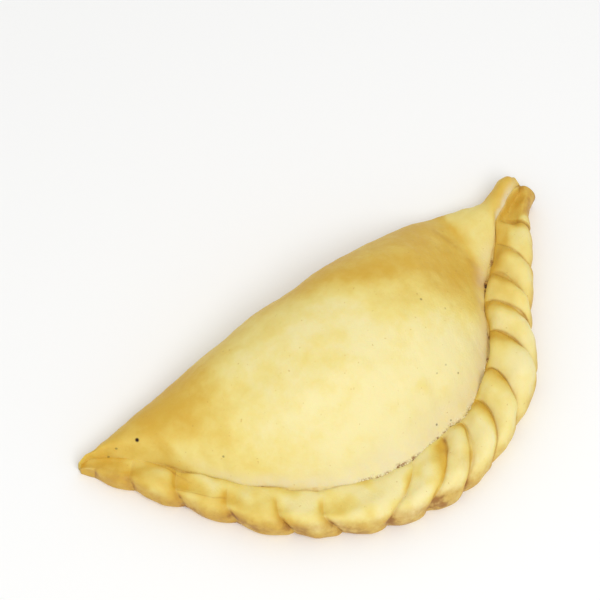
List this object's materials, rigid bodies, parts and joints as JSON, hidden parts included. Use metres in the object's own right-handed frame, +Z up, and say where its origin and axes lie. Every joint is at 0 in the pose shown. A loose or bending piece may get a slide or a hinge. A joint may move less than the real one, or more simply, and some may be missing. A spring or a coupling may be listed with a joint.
{
  "type": "vegetable turnover",
  "caption": "Baked half-moon turnover: a filled dome of pale golden dough, folded flat on a browned base and shut with a rolled, overlapping crimp that ends in a small folded tab.",
  "frame": {"origin": "on the surface it lies on, under the middle of its box", "axes": "+X along its length, from the plain tip to the folded tab; +Y towards the fold, -Y towards the crimp; +Z up"},
  "size_m": [0.1528, 0.0764, 0.03],
  "materials": {
    "baked_dough": "satin"
  },
  "bodies": {
    "root": {"turnover": "baked_dough"}
  },
  "joints": []
}
